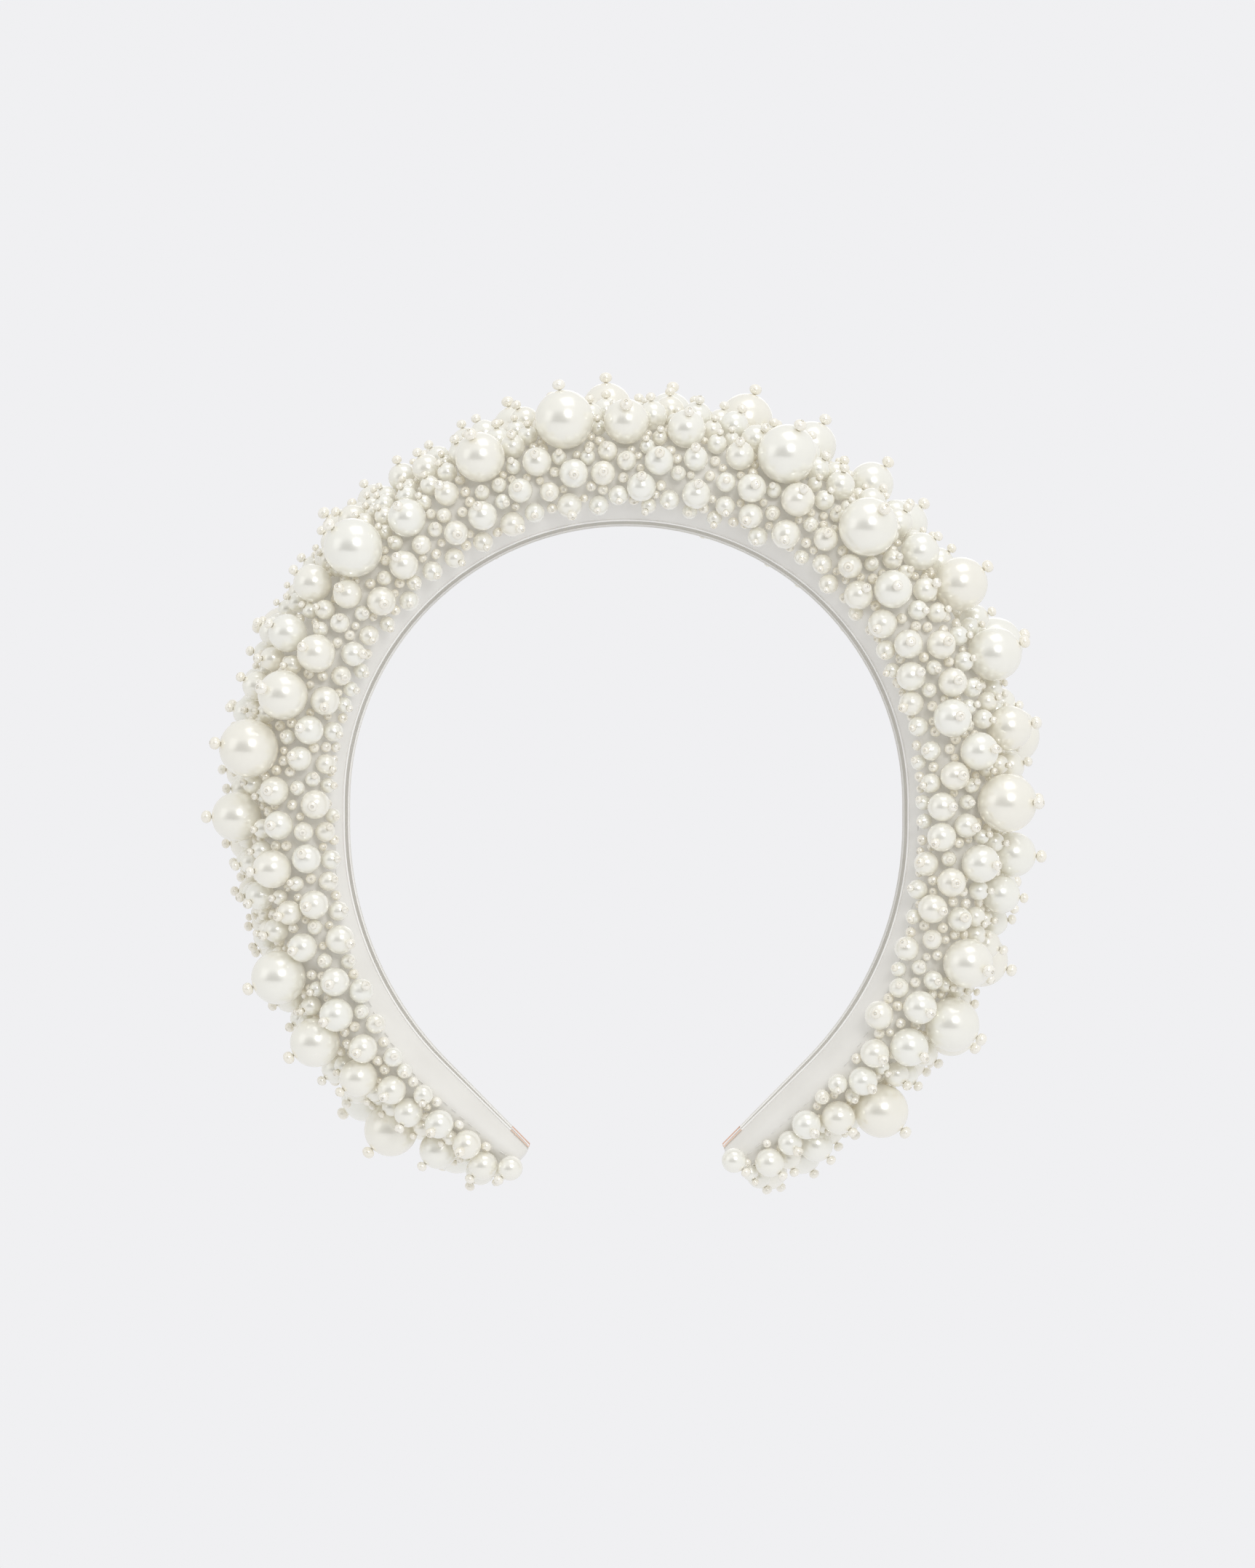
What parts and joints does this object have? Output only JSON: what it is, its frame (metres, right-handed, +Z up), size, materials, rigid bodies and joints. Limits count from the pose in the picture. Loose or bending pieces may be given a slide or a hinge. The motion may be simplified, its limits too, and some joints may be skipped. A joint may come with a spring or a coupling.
{
  "type": "headband",
  "caption": "Padded satin alice band that springs open for the head, embroidered all over its outside with imitation pearls of mixed sizes, each held by a small stop bead.",
  "frame": {"origin": "centre of the crown arc of the lining, half way through its width", "axes": "+Z up towards the top of the crown, +X towards the right tip as seen from the front, +Y to the back, along the axis of the head seat"},
  "size_m": [0.189, 0.0633, 0.1856],
  "materials": {
    "pearl": "pearl lustre coating on a moulded bead",
    "stop_bead": "pearl-coated seed bead",
    "sewing_thread": "twisted beading thread",
    "satin": "white satin weave with a soft sheen",
    "lining": "smooth satin ribbon",
    "end_tape": "thin nude tape, glued down",
    "foam": "soft upholstery foam",
    "core": "springy moulded strip"
  },
  "bodies": {
    "crown": {"foam_pad_crown": "foam", "inner_lining": "lining", "pearls_10mm_crown": "pearl", "pearls_11mm_crown": "pearl", "pearls_12mm_crown": "pearl", "pearls_13mm_crown": "pearl", "pearls_3_5mm_crown": "pearl", "pearls_4_5mm_crown": "pearl", "pearls_5_5mm_crown": "pearl", "pearls_6_5mm_crown": "pearl", "pearls_7_5mm_crown": "pearl", "pearls_8_5mm_crown": "pearl", "satin_cover": "satin", "seed_beads_1_9mm_crown": "stop_bead", "seed_beads_2_4mm_crown": "stop_bead", "spring_core": "core", "stop_beads_large_crown": "stop_bead", "stop_beads_small_crown": "stop_bead", "stop_beads_tiny_crown": "stop_bead", "threads_crown": "sewing_thread"},
    "left_arm": {"edge_stitches_left": "sewing_thread", "end_tape_left": "end_tape", "foam_pad_left": "foam", "pearls_10mm_left": "pearl", "pearls_11mm_left": "pearl", "pearls_12mm_left": "pearl", "pearls_13mm_left": "pearl", "pearls_3_5mm_left": "pearl", "pearls_4_5mm_left": "pearl", "pearls_5_5mm_left": "pearl", "pearls_6_5mm_left": "pearl", "pearls_7_5mm_left": "pearl", "pearls_8_5mm_left": "pearl", "seed_beads_1_9mm_left": "stop_bead", "seed_beads_2_4mm_left": "stop_bead", "stop_beads_large_left": "stop_bead", "stop_beads_small_left": "stop_bead", "stop_beads_tiny_left": "stop_bead", "threads_left": "sewing_thread"},
    "right_arm": {"edge_stitches_right": "sewing_thread", "end_tape_right": "end_tape", "foam_pad_right": "foam", "pearls_10mm_right": "pearl", "pearls_11mm_right": "pearl", "pearls_12mm_right": "pearl", "pearls_13mm_right": "pearl", "pearls_3_5mm_right": "pearl", "pearls_4_5mm_right": "pearl", "pearls_5_5mm_right": "pearl", "pearls_6_5mm_right": "pearl", "pearls_7_5mm_right": "pearl", "pearls_8_5mm_right": "pearl", "seed_beads_1_9mm_right": "stop_bead", "seed_beads_2_4mm_right": "stop_bead", "stop_beads_large_right": "stop_bead", "stop_beads_small_right": "stop_bead", "stop_beads_tiny_right": "stop_bead", "threads_right": "sewing_thread"}
  },
  "joints": [
    {"name": "left_arm_flex", "type": "hinge", "parent": "crown", "child": "left_arm", "pos_m": [-0.06712, 0, 0.03875], "axis": [0, 1, 0], "range_deg": [0, 12], "stiffness_Nm_per_rad": 1.3, "deforming": ["satin_cover", "inner_lining", "spring_core"]},
    {"name": "right_arm_flex", "type": "hinge", "parent": "crown", "child": "right_arm", "pos_m": [0.06712, 0, 0.03875], "axis": [0, -1, 0], "range_deg": [0, 12], "stiffness_Nm_per_rad": 1.3, "deforming": ["satin_cover", "inner_lining", "spring_core"]}
  ]
}
